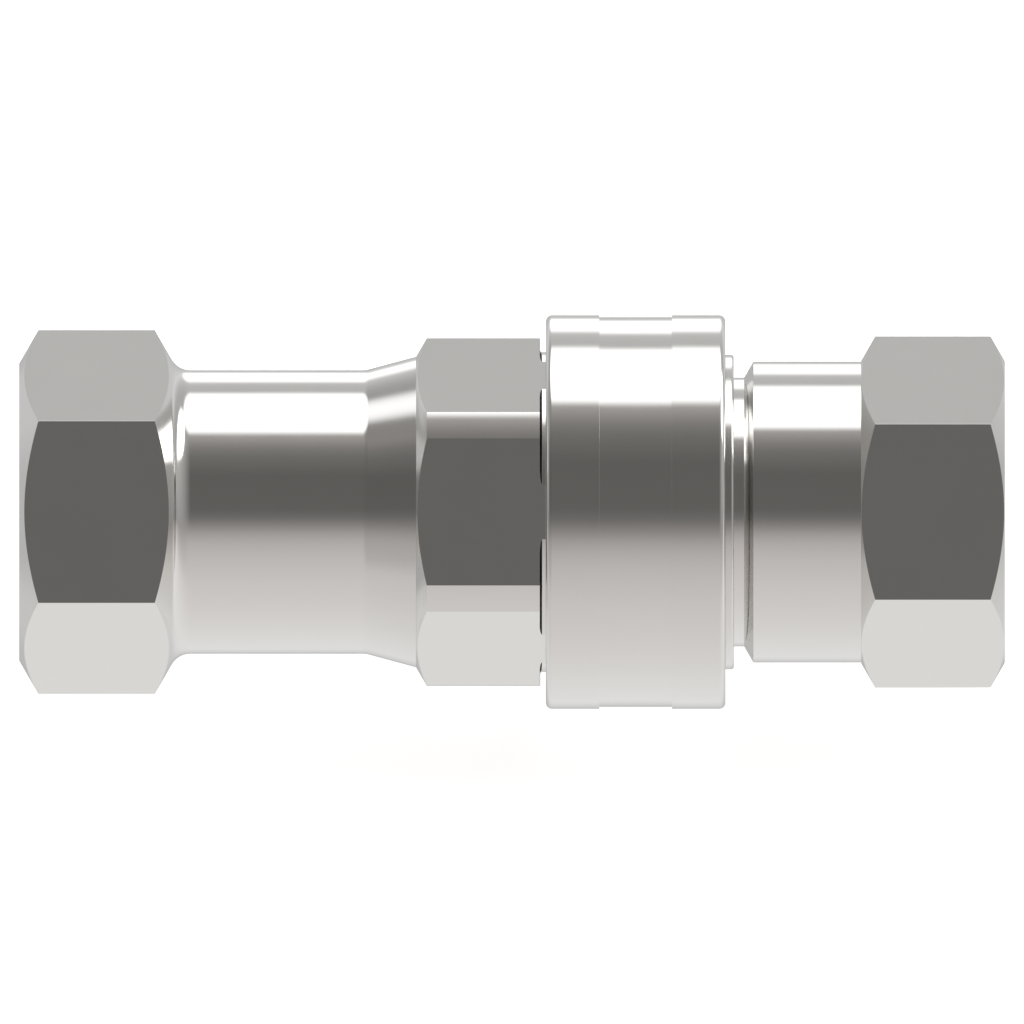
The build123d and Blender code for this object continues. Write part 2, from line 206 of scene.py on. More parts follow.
# Turns an outline into a closed mesh, one column of points for each angle, with exact normals. The
# outline may depend on the column's limit, as it does on a hexagon. Faces on flats get the second material.
def turnedPiece(name, outlineOf, columns, materials, flats=None, holes=None):
    known = {}

    def pointsFor(limit):
        key = round(limit, 5)
        if key not in known:
            known[key] = [outlineOf(key + change) for change in (-slopeStep, 0.0, slopeStep)]
        return known[key]

    spots, normals = [], []
    for angle, limit, slope in columns:
        lower, middle, upper = pointsFor(limit)
        x, r, alongX, alongR = middle.T
        driftX, driftR = (upper[:, :2] - lower[:, :2]).T / (2 * slopeStep) * slope
        sine, cosine = math.sin(angle), math.cos(angle)
        spots.append(np.stack([x + leftFace, r * sine, r * cosine], axis=1) * mm)
        down = np.stack([alongX, alongR * sine, alongR * cosine], axis=1)
        across = np.stack([driftX, driftR * sine + r * cosine, driftR * cosine - r * sine], axis=1)
        normals.append(np.cross(down, across))
    spots, normals = np.array(spots), np.array(normals)
    width, height = len(columns), spots.shape[1]
    index = np.arange(width * height).reshape(width, height)
    here, below = index, np.roll(index, -1, axis=1)
    quads = np.stack([here, below, np.roll(below, -1, axis=0), np.roll(here, -1, axis=0)], axis=2)
    quads = [tuple(quad) for quad in quads.reshape(-1, 4).tolist()]
    spots, normals = spots.reshape(-1, 3), normals.reshape(-1, 3)
    if holes:
        spots, normals, quads = holes(spots, normals, quads, columns, height)
    mesh = bpy.data.meshes.new(name)
    mesh.from_pydata(spots.tolist(), [], quads)
    for material in materials:
        mesh.materials.append(material)
    mesh.polygons.foreach_set("use_smooth", [True] * len(mesh.polygons))
    if flats:
        for face in mesh.polygons:
            y, z = face.center.y / mm, face.center.z / mm
            fromFlat = (math.degrees(math.atan2(y, z)) + hexSector / 2) % hexSector - hexSector / 2
            distance = math.hypot(y, z) * math.cos(math.radians(fromFlat))
            onFlat = abs(distance - flats / 2) < flatTolerance and abs(face.normal.x) < flatTolerance
            face.material_index = 1 if onFlat and abs(fromFlat) < hexSector / 2 - cornerMargin else 0
    unit = normals / np.linalg.norm(normals, axis=1)[:, None]
    mesh.normals_split_custom_set_from_vertices(unit.tolist())
    return newObject(name, mesh)


# Stainless bar, turned, milled or drawn and then polished. The eye reads it as bright neutral metal with
# soft-edged reflections, and close up as fine lines that follow the tool: rings where it was turned, and
# lines along the bar where it was drawn. The real lines are 0.1 mm apart and are drawn coarser to show.
stainlessTurned = {
    "name": "stainless316TurnedPolished",
    "colour": "#E7E6E4",
    "roughness": (0.1, 0.125),
    "lines": (0.32, 14.0),  # mm between lines, mm that a line runs
    "depth": 0.0004,  # mm
    "smudge": 9.0,  # mm across a patch that is a little duller
    "around": True,
    "metallic": 1.0,
}
stainlessDrawn = dict(
    stainlessTurned,
    name="stainless316DrawnHexagon",
    roughness=(0.105, 0.125),
    lines=(0.45, 22.0),
    around=False,
)
stainlessInside = dict(
    stainlessTurned,
    name="stainless316BoredPlain",
    colour="#DCDAD6",
    roughness=(0.22, 0.3),
    depth=0.0012,
)
stainlessThread = dict(
    stainlessTurned,
    name="stainless316TappedThread",
    colour="#DCDAD6",
    roughness=(0.2, 0.28),
    lines=(0.25, 6.0),
)
springWire = dict(
    stainlessTurned,
    name="stainless302SpringWireDrawn",
    colour="#C9C5BF",
    roughness=(0.24, 0.34),
    lines=(0.2, 5.0),
)
ringSteel = dict(
    stainlessTurned,
    name="stainless302RingCoiled",
    colour="#D0CCC5",
    roughness=(0.22, 0.3),
    lines=(0.2, 8.0),
)
# Carbon spring steel, phosphated and oiled: nearly black, fine crystals that give only a dull sheen.
ringPhosphated = dict(
    stainlessTurned,
    name="springSteelPhosphated",
    colour="#2E2D2C",
    roughness=(0.5, 0.6),
    lines=(0.2, 1.0),
    metallic=0.3,
)
# Hardened ball, lapped: mirror bright, with next to no lines.
ballSteel = dict(
    stainlessTurned,
    name="stainless440cBallLapped",
    colour="#DFDFDF",
    roughness=(0.05, 0.08),
    depth=0.0001,
)
lineShare = 0.5  # how much the lines add to the smudges where they set the roughness
dullRange = (0.55, 0.95)  # the sum of both, from the smoothest to the dullest


def stainless(finish):
    material, tree = newMaterial(finish["name"])
    place = addNode(tree, "ShaderNodeTexCoord").outputs["Object"]
    part = addNode(tree, "ShaderNodeSeparateXYZ", inputs={0: place}).outputs
    squares = [maths(tree, "MULTIPLY", part[axis], part[axis]) for axis in "YZ"]
    radius = maths(tree, "SQRT", maths(tree, "ADD", *squares))
    fine, long = 1 / (finish["lines"][0] * mm), 1 / (finish["lines"][1] * mm)
    if finish["around"]:  # rings: fine along the axis and the radius, long round the axis
        rings = addNode(tree, "ShaderNodeCombineXYZ", inputs={0: part["X"], 1: radius}).outputs[0]
        across = vectorMaths(tree, "SCALE", {0: rings, "Scale": fine})[0]
        swept = vectorMaths(tree, "SCALE", {0: place, "Scale": long})[0]
        lay = vectorMaths(tree, "ADD", {0: across, 1: swept})[0]
    else:  # lines along the bar
        lay = vectorMaths(tree, "MULTIPLY", {0: place, 1: (long, fine, fine)})[0]
    lines = noise(tree, lay, 1.0, 3.0)
    smudges = noise(tree, place, 1 / (finish["smudge"] * mm), 2.0)
    both = maths(tree, "MULTIPLY_ADD", lines, lineShare, smudges)
    relief = {"Height": lines, "Strength": 1.0, "Distance": finish["depth"] * mm}
    inputs = {
        "Base Color": linear(finish["colour"]),
        "Metallic": finish["metallic"],
        "Roughness": spread(tree, both, dullRange, finish["roughness"]),
        "Normal": addNode(tree, "ShaderNodeBump", inputs=relief).outputs[0],
    }
    shader = addNode(tree, "ShaderNodeBsdfPrincipled", inputs=inputs)
    addNode(tree, "ShaderNodeOutputMaterial", inputs={"Surface": shader.outputs[0]})
    return material


# Nitrile rubber O-ring, moulded, with a trace of grease: black, soft highlights, faint orange peel.
# PTFE back-up ring, turned: waxy white, a broad dull highlight, fine tool rings.
nitrile = {
    "name": "nitrileRubberMoulded",
    "colours": ("#17171A", "#1F1F22"),
    "roughness": (0.38, 0.5),
    "grain": 0.35,  # mm
    "depth": 0.004,  # mm
    "ior": 1.52,
}
ptfe = {
    "name": "ptfeTurned",
    "colours": ("#E4E2DC", "#EDEBE6"),
    "roughness": (0.42, 0.52),
    "grain": 0.5,
    "depth": 0.003,
    "ior": 1.35,
}


def plainSolid(finish):
    material, tree = newMaterial(finish["name"])
    place = addNode(tree, "ShaderNodeTexCoord").outputs["Object"]
    grain = noise(tree, place, 1 / (finish["grain"] * mm), 4.0)
    relief = {"Height": grain, "Distance": finish["depth"] * mm}
    inputs = {
        "Base Color": blendColours(tree, grain, *(linear(colour) for colour in finish["colours"])),
        "Roughness": spread(tree, grain, (0.0, 1.0), finish["roughness"]),
        "IOR": finish["ior"],
        "Normal": addNode(tree, "ShaderNodeBump", inputs=relief).outputs[0],
    }
    shader = addNode(tree, "ShaderNodeBsdfPrincipled", inputs=inputs)
    addNode(tree, "ShaderNodeOutputMaterial", inputs={"Surface": shader.outputs[0]})
    return material


finishes = {
    "turned": stainless(stainlessTurned),
    "drawn": stainless(stainlessDrawn),
    "bored": stainless(stainlessInside),
    "thread": stainless(stainlessThread),
    "wire": stainless(springWire),
    "ring": stainless(ringSteel),
    "blackRing": stainless(ringPhosphated),
    "ball": stainless(ballSteel),
    "nitrile": plainSolid(nitrile),
    "ptfe": plainSolid(ptfe),
}
print("materials ready:", len(finishes))


# Adapter: hexagon with the port, neck, flared shoulder, and the spigot inside the body.
adapter = {
    "flats": 46.04,
    "cornerRounding": 0.05,
    "edgeBreak": 0.03,
    "faceRadius": 21.7,
    "hexLength": 22.65,
    "neckRadius": 20.72,
    "rootFillet": 3.2,
    "flareStart": 50.611,
    "flareFillet": 3.2,
    "length": 58.0,
    "shoulderRadius": 22.7,
    "spigotRadius": 19.5,
    "spigotEnd": 70.0,
    "sealGroove": (66.6, 68.8, 17.9),
    "chamberRadius": 14.4,
    "guideRest": 42.98,
    "passageRadius": 13.2,
    "portRadius": 16.4,
    "portDepth": 20.0,
    "mouthChamfer": 1.0,
}


def adapterOutline(limit):
    a = adapter
    rise = (limit - a["faceRadius"]) / chamferSlope
    foot = (a["faceRadius"] - a["neckRadius"]) / chamferSlope
    grooveBack, grooveFront, grooveRadius = a["sealGroove"]
    return outlinePoints(
        [
            (0, a["portRadius"] + a["mouthChamfer"]),
            (0, a["faceRadius"]),
            (rise, limit),
            (a["hexLength"] - rise, limit),
            (a["hexLength"] + foot, a["neckRadius"], a["rootFillet"]),
            (a["flareStart"], a["neckRadius"], a["flareFillet"]),
            (a["length"], a["shoulderRadius"]),
            (a["length"], a["spigotRadius"]),
            (grooveBack, a["spigotRadius"]),
            (grooveBack, grooveRadius),
            (grooveFront, grooveRadius),
            (grooveFront, a["spigotRadius"]),
            (a["spigotEnd"], a["spigotRadius"]),
            (a["spigotEnd"], a["chamberRadius"]),
            (a["guideRest"], a["chamberRadius"]),
            (a["guideRest"], a["passageRadius"]),
            (a["portDepth"] + a["portRadius"] - a["passageRadius"], a["passageRadius"]),
            (a["portDepth"], a["portRadius"]),
            (a["mouthChamfer"], a["portRadius"]),
        ],
        a["edgeBreak"],
    )


def makeAdapter():
    columns = hexColumns(adapter["flats"], adapter["cornerRounding"])
    skins = [finishes["turned"], finishes["drawn"]]
    return turnedPiece("adapter_finished", adapterOutline, columns, skins, adapter["flats"])


# Coupler body: hexagon milled on round bar, root fillet beside it, barrel with the ball holes, nose.
body = {
    "flats": 46.04,
    "edgeBreak": 0.03,
    "start": 58.0,
    "faceRadius": 22.72,
    "barRadius": 25.4,
    "hexEnd": 76.1,
    "rootRadius": 23.36,
    "rootFillet": 0.35,
    "stopGroove": (78.58, 79.82, 22.2),
    "barrelRadius": 22.97,
    "wireGroove": (98.599, 0.82),  # middle, radius of its round bottom
    "wireFillet": 0.81,  # a little less, so that the bottom's two fillets don't meet
    "noseEnd": 104.4,
    "noseFillet": 0.4,
    "socketRadius": 19.71,
    "socketEdge": 0.02,  # fillet at the socket's mouth
    "socketFloor": 79.6,
    "sealGroove": (84.7, 88.3, 21.26),
    "seatRadius": 11.0,
    "seatEdge": 75.5,
    "chamberRadius": 14.4,
    "coneEnd": 72.1,
    "counterbore": (70.2, 19.55),
    "ballStation": 94.5,
    "ballCircle": 20.589,
    "ballHole": 2.431,
    "ballCount": 12,
    "ballPatch": 3.1,  # half the length of the patch of mesh that each ball hole is cut in
    "ballPatchTurn": 7.55,  # half the patch's width, degrees
    "ballLip": 0.04,  # broken edge at both ends of a ball hole
    "ballInnerLip": 0.03,  # its depth at the inner end
    "ballWaist": 0.45,  # how far inside the balls' circle the hole's sphere gets a ring of points
    "edgeLead": 1.0,  # from the outline's last point on the hexagon to the hexagon's end
    "edgeCrisp": 0.03,  # from an edge to the points that keep it crisp
    "filletPoints": 8,
    "rootLead": 0.5,  # from the root's last point to the stop ring's groove
}


def bodyOutline(limit):
    b = body
    rise = (limit - b["faceRadius"]) / chamferSlope
    grooveBack, grooveFront, grooveRadius = b["stopGroove"]
    sealBack, sealFront, sealRadius = b["sealGroove"]
    wireAt, wireRadius = b["wireGroove"]
    patch = (b["ballStation"] - b["ballPatch"], b["ballStation"] + b["ballPatch"])
    ends = outlinePoints(
        [
            (b["counterbore"][0], b["counterbore"][1]),
            (b["start"], b["counterbore"][1]),
            (b["start"], b["faceRadius"]),
            (b["start"] + rise, limit),
            (b["hexEnd"] - b["edgeLead"], limit, 0),
            (grooveBack - b["rootLead"], min(limit, b["rootRadius"]), 0),
            (grooveBack, min(limit, b["rootRadius"])),
            (grooveBack, grooveRadius),
            (grooveFront, grooveRadius),
            (grooveFront, b["barrelRadius"]),
            (patch[0], b["barrelRadius"], 0),
            (patch[1], b["barrelRadius"], 0),
            (wireAt - wireRadius, b["barrelRadius"]),
            (wireAt - wireRadius, b["barrelRadius"] - wireRadius, b["wireFillet"]),
            (wireAt + wireRadius, b["barrelRadius"] - wireRadius, b["wireFillet"]),
            (wireAt + wireRadius, b["barrelRadius"]),
            (b["noseEnd"], b["barrelRadius"], b["noseFillet"]),
            (b["noseEnd"], b["socketRadius"], b["socketEdge"]),
            (patch[1], b["socketRadius"], 0),
            (patch[0], b["socketRadius"], 0),
            (sealFront, b["socketRadius"]),
            (sealFront, sealRadius),
            (sealBack, sealRadius),
            (sealBack, b["socketRadius"]),
            (b["socketFloor"], b["socketRadius"]),
            (b["socketFloor"], b["seatRadius"]),
            (b["seatEdge"], b["seatRadius"]),
            (b["coneEnd"], b["chamberRadius"]),
            (b["counterbore"][0], b["chamberRadius"]),
        ],
        b["edgeBreak"],
    )
    before = int(np.argmin(np.abs(ends[:, 0] - b["hexEnd"] + b["edgeLead"])))  # the last point on the hexagon
    ends[before, 2:] = 1.0, 0.0
    ends[before + 1, 2:] = 1.0, 0.0
    return np.concatenate([ends[:before + 1], rootPoints(limit), ends[before + 1:]])


# The hexagon's end: its edge, the face behind it, and the fillet down to the root. A flat that lies
# deeper than the fillet's top cuts the fillet short, and one deeper than the root runs past it.
def rootPoints(limit):
    b = body
    filletTop, tiny = b["rootRadius"] + b["rootFillet"], b["edgeCrisp"]
    onFace = limit > filletTop + 2 * tiny
    height = np.clip((filletTop - limit) / b["rootFillet"], 0, 0.999)  # 1 would end the arc where it starts
    meet = b["hexEnd"]
    if limit > b["rootRadius"]:
        meet += b["rootFillet"] * (1 - math.sqrt(1 - height ** 2))
    points = [(meet - 2 * tiny, limit, 1, 0)]
    points.append((b["hexEnd"], limit - tiny, 0, -1) if onFace else (meet - tiny, limit, 1, 0))
    points.append((b["hexEnd"], filletTop + tiny / 2, 0, -1) if onFace else (meet - tiny / 2, limit, 1, 0))
    for share in np.linspace(0, 1, b["filletPoints"]):
        if limit <= b["rootRadius"]:
            points.append((b["hexEnd"] + b["rootFillet"] * share, limit, 1, 0))
            continue
        angle = math.asin(height) + (math.pi / 2 - math.asin(height)) * share
        x = b["hexEnd"] + b["rootFillet"] * (1 - math.cos(angle))
        points.append((x, filletTop - b["rootFillet"] * math.sin(angle), math.sin(angle), -math.cos(angle)))
    return np.array(points)


# Cuts the ball holes: each takes a patch out of the barrel and of the socket, and gets a wall between
# them, a cylinder outside the balls' circle and part of a sphere inside it.
def cutBallHoles(spots, normals, quads, columns, height):
    b = body
    stations = spots[:height, 0] / mm - leftFace
    radii = spots[:height, 1:]
    radii = np.hypot(radii[:, 0], radii[:, 1]) / mm
    rows = []
    for radius in (b["barrelRadius"], b["socketRadius"]):
        for side in (-1, 1):
            off = np.abs(stations - b["ballStation"] - side * b["ballPatch"]) + np.abs(radii - radius)
            rows.append(int(np.argmin(off)))
    outerBack, outerFront, innerBack, innerFront = rows
    angles = np.array([angle for angle, _, _ in columns])
    removed, extraSpots, extraNormals, extraQuads = set(), [], [], []
    depth = [b["barrelRadius"], b["barrelRadius"] - b["ballLip"], b["ballCircle"]]
    depth += [b["ballCircle"] - b["ballWaist"], b["socketRadius"] + b["ballInnerLip"], b["socketRadius"]]
    for ball in range(b["ballCount"]):
        middle = 2 * math.pi / b["ballCount"] * (ball + 0.5)
        away = (angles - middle + math.pi) % (2 * math.pi) - math.pi
        near = np.flatnonzero(np.abs(away) < math.radians(b["ballPatchTurn"]))
        near = near[np.argsort(away[near])]
        for column in near[:-1]:
            removed.add((column, outerBack))
            removed.add((column, innerFront))
        ringOuter = [c * height + outerBack for c in near] + [c * height + outerFront for c in near[::-1]]
        ringInner = [c * height + innerBack for c in near] + [c * height + innerFront for c in near[::-1]]
        turnOf = [math.atan2(away[c] * b["barrelRadius"], -b["ballPatch"]) for c in near]
        turnOf += [math.atan2(away[c] * b["barrelRadius"], b["ballPatch"]) for c in near[::-1]]
        up = np.array([0, math.sin(middle), math.cos(middle)])
        along, around = np.array([1.0, 0, 0]), np.array([0, math.cos(middle), -math.sin(middle)])
        rings = [ringOuter]
        for level, radius in enumerate(depth):
            below = b["ballCircle"] - radius
            size = b["ballHole"] if below <= 0 else math.sqrt(b["ballHole"] ** 2 - below ** 2)
            size += b["ballLip"] if level in (0, len(depth) - 1) else 0
            ring = []
            for turn in turnOf:
                across = along * size * math.cos(turn) + around * size * math.sin(turn)
                lift = math.sqrt(radius ** 2 - (size * math.sin(turn)) ** 2)
                inward = -(along * math.cos(turn) + around * math.sin(turn))
                spot = up * lift + across
                skin = spot * np.array([0, 1, 1])
                facing = skin if level == 0 else -skin if level == len(depth) - 1 else inward
                ring.append(len(spots) + len(extraSpots))
                extraSpots.append((spot + along * (b["ballStation"] + leftFace)) * mm)
                extraNormals.append(facing)
            rings.append(ring)
        rings.append(ringInner)
        for first, second in zip(rings, rings[1:]):
            for at in range(len(first)):
                nextAt = (at + 1) % len(first)
                extraQuads.append((first[at], second[at], second[nextAt], first[nextAt]))
    quads = [quad for quad in quads if (quad[0] // height, quad[0] % height) not in removed]
    spots, normals = np.concatenate([spots, extraSpots]), np.concatenate([normals, extraNormals])
    return spots, normals, quads + extraQuads


def makeBody():
    rootEdge = math.acos(body["flats"] / 2 / body["rootRadius"])
    filletEdge = math.acos(body["flats"] / 2 / (body["rootRadius"] + body["rootFillet"]))
    crisp = math.radians(0.05)  # columns to either side of where the flat meets the root
    extra = (rootEdge - crisp, rootEdge + crisp, filletEdge)
    columns = hexColumns(body["flats"], bar=body["barRadius"], extra=extra)
    skins = [finishes["turned"], finishes["drawn"]]
    return turnedPiece("body_finished", bodyOutline, columns, skins, body["flats"], cutBallHoles)


# Release sleeve: rounded ends, a plain band turned a little deeper, land and pocket inside.
sleeve = {
    "edgeBreak": 0.01,
    "back": 76.95,
    "front": 103.16,
    "radius": 28.75,
    "endFillet": 0.88,
    "band": (84.75, 95.35, 28.47),
    "pocketRadius": 24.762,
    "landFront": 97.799,
    "landBack": 92.999,
    "landRadius": 23.02,
    "skirtRadius": 25.6,
    "mouthChamfer": 0.5,
}


def sleeveOutline(limit):
    s = sleeve
    bandBack, bandFront, bandRadius = s["band"]
    return outlinePoints(
        [
            (s["back"], s["skirtRadius"] + s["mouthChamfer"]),
            (s["back"], s["radius"], s["endFillet"]),
            (bandBack, s["radius"]),
            (bandBack, bandRadius),
            (bandFront, bandRadius),
            (bandFront, s["radius"]),
            (s["front"], s["radius"], s["endFillet"]),
            (s["front"], s["pocketRadius"]),
            (s["landFront"], s["pocketRadius"]),
            (s["landFront"], s["landRadius"]),
            (s["landBack"], s["landRadius"]),
            (s["landBack"], s["skirtRadius"]),
            (s["back"] + s["mouthChamfer"], s["skirtRadius"]),
        ],
        s["edgeBreak"],
    )


def makeSleeve():
    return turnedPiece("sleeve_finished", sleeveOutline, roundColumns(), [finishes["turned"]])


# Nipple: tip with the ball groove, collar, hexagon with the port.
nipple = {
    "flats": 44.45,
    "cornerRounding": 0.05,
    "edgeBreak": 0.03,
    "front": 80.4,
    "tipRadius": 19.65,
    "lead": (1.4, 0.7),
    "ballStation": 94.5,
    "ballGroove": (0.95, 2.502, 18.098),  # half its floor, half its mouth, radius of its floor
    "collar": (105.9, 107.245, 21.98),
    "hexStart": 123.0,
    "faceRadius": 22.125,
    "portFaceRadius": 22.035,
    "end": 144.0,
    "portRadius": 16.4,
    "mouthChamfer": 1.0,
    "portFloor": 124.0,
    "chamberRadius": 14.4,
    "ringGroove": (117.02, 118.24, 15.2),
    "seat": (84.5, 87.9, 11.0),
}


def nippleOutline(limit):
    n = nipple
    rise = (limit - n["faceRadius"]) / chamferSlope
    portRise = (limit - n["portFaceRadius"]) / chamferSlope
    halfFloor, halfMouth, grooveRadius = n["ballGroove"]
    collarStart, collarTop, collarRadius = n["collar"]
    ringBack, ringFront, ringRadius = n["ringGroove"]
    seatEdge, coneEnd, seatRadius = n["seat"]
    return outlinePoints(
        [
            (n["front"], seatRadius),
            (n["front"], n["tipRadius"] - n["lead"][1]),
            (n["front"] + n["lead"][0], n["tipRadius"]),
            (n["ballStation"] - halfMouth, n["tipRadius"]),
            (n["ballStation"] - halfFloor, grooveRadius),
            (n["ballStation"] + halfFloor, grooveRadius),
            (n["ballStation"] + halfMouth, n["tipRadius"]),
            (collarStart, n["tipRadius"]),
            (collarTop, collarRadius),
            (n["hexStart"], collarRadius),
            (n["hexStart"], n["faceRadius"]),
            (n["hexStart"] + rise, limit),
            (n["end"] - portRise, limit),
            (n["end"], n["portFaceRadius"]),
            (n["end"], n["portRadius"] + n["mouthChamfer"]),
            (n["end"] - n["mouthChamfer"], n["portRadius"]),
            (n["portFloor"], n["portRadius"]),
            (n["portFloor"] - n["portRadius"] + n["chamberRadius"], n["chamberRadius"]),
            (ringFront, n["chamberRadius"]),
            (ringFront, ringRadius),
            (ringBack, ringRadius),
            (ringBack, n["chamberRadius"]),
            (coneEnd, n["chamberRadius"]),
            (seatEdge, seatRadius),
        ],
        n["edgeBreak"],
    )


def makeNipple():
    columns = hexColumns(nipple["flats"], nipple["cornerRounding"])
    skins = [finishes["turned"], finishes["drawn"]]
    return turnedPiece("nipple_finished", nippleOutline, columns, skins, nipple["flats"])


# Taper pipe thread in a port: one ridge wound on a helix, cut back by the mouth's countersink and
# running out before the port's floor. 11.5 threads to the inch, tapering 1 in 16 on the diameter.
thread = {
    "pitch": 25.4 / 11.5,
    "start": 1.1,
    "end": 17.6,
    "wallRadius": 16.45,
    "crestRadius": 15.05,
    "taper": 1 / 32,
    "mouthRadius": 17.3,
    "crestWidth": 0.22,
    "baseWidth": 1.95,
    "stepsPerTurn": 96,
    "runOut": 0.4,  # turns over which the ridge rises and fades
    "least": (0.02, 0.03),  # the ridge's least height in mm, and the least share of it at the run-outs
    "buried": 0.1,  # how deep the ridge's underside lies in the wall
    "crease": 35.0,  # degrees above which an edge shades sharp
}


def makeThread(name, faceStation, direction):
    t = thread
    steps = int((t["end"] - t["start"]) / t["pitch"] * t["stepsPerTurn"])
    spots, faces = [], []
    for step in range(steps + 1):
        turn = step / t["stepsPerTurn"]
        depth = t["start"] + turn * t["pitch"]
        left = (steps - step) / t["stepsPerTurn"]
        fade = min(1.0, turn / t["runOut"], left / t["runOut"])
        fade = fade * fade * (3 - 2 * fade)
        crest = max(t["crestRadius"] - depth * t["taper"], t["mouthRadius"] - depth)
        height = max(t["wallRadius"] - crest, t["least"][0]) * max(fade, t["least"][1])
        crest = t["wallRadius"] - height
        tall = height / (t["wallRadius"] - t["crestRadius"])
        top = t["baseWidth"] + (t["crestWidth"] - t["baseWidth"]) * min(tall, 1)
        section = [
            (-t["baseWidth"] / 2, t["wallRadius"]),
            (-top / 2, crest),
            (top / 2, crest),
            (t["baseWidth"] / 2, t["wallRadius"]),
            (0, t["wallRadius"] + t["buried"]),
        ]
        angle = 2 * math.pi * turn
        for offset, radius in section:
            x = faceStation + direction * (depth + offset) + leftFace
            spots.append((x * mm, direction * radius * math.sin(angle) * mm, radius * math.cos(angle) * mm))
        size = len(section)
        if step:
            for side in range(size):
                nextSide = (side + 1) % size
                first, second = (step - 1) * size, step * size
                faces.append((first + side, first + nextSide, second + nextSide, second + side))
    faces.append(tuple(range(size - 1, -1, -1)))
    faces.append(tuple(steps * size + side for side in range(size)))
    mesh = bpy.data.meshes.new(name)
    mesh.from_pydata(spots, [], faces)
    mesh.materials.append(finishes["thread"])
    mesh.polygons.foreach_set("use_smooth", [True] * len(mesh.polygons))
    mesh.set_sharp_from_angle(angle=math.radians(t["crease"]))
    return newObject(name, mesh)


# Springs are copied from their imported meshes and hung on their bodies. Each entry also gives the
# spring's joint and the end that stays still.
springs = {
    "sleeve_spring": {"joint": "sleeve_slide", "body": "coupler", "stillEnd": 0},
    "coupler_valve_spring": {"joint": "coupler_poppet_float", "body": "coupler", "stillEnd": 0},
    "nipple_valve_spring": {"joint": "nipple_poppet_float", "body": "nipple", "stillEnd": 1},
}


def makeSprings():
    for name, spring in springs.items():
        made = newObject(name + "_wound", nodes[name].data.copy())
        made.matrix_world = nodes[name].matrix_world.copy()
        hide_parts(name)
        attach(made, spring["body"])
        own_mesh(made)


made = makeAdapter()
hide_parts("coupler_adapter")
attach(made, "coupler")
made = makeBody()
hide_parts("coupler_body")
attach(made, "coupler")
made = makeSleeve()
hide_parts("release_sleeve")
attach(made, "sleeve")
made = makeNipple()
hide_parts("nipple_body")
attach(made, "nipple")
made = makeThread("coupler_port_thread", 0, 1)
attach(made, "coupler")
made = makeThread("nipple_port_thread", nipple["end"], -1)
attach(made, "nipple")
print("pieces made")

nodeFinishes = {
    "bored": ["coupler_poppet", "coupler_valve_guide", "nipple_poppet", "nipple_valve_guide"],
    "ball": ["locking_balls"],
    "wire": ["sleeve_spring", "coupler_valve_spring", "nipple_valve_spring"],
    "ring": ["sleeve_thrust_washer", "sleeve_retaining_ring", "nipple_guide_snap_ring"],
    "blackRing": ["sleeve_spring_stop_ring"],
    "nitrile": ["interface_seal", "adapter_joint_seal", "coupler_poppet_seal", "nipple_poppet_seal"],
    "ptfe": ["interface_backup_ring"],
}
for finish, names in nodeFinishes.items():
    for name in names:
        nodes[name].data.materials.clear()
        nodes[name].data.materials.append(finishes[finish])
makeSprings()
print("packed pieces finished")


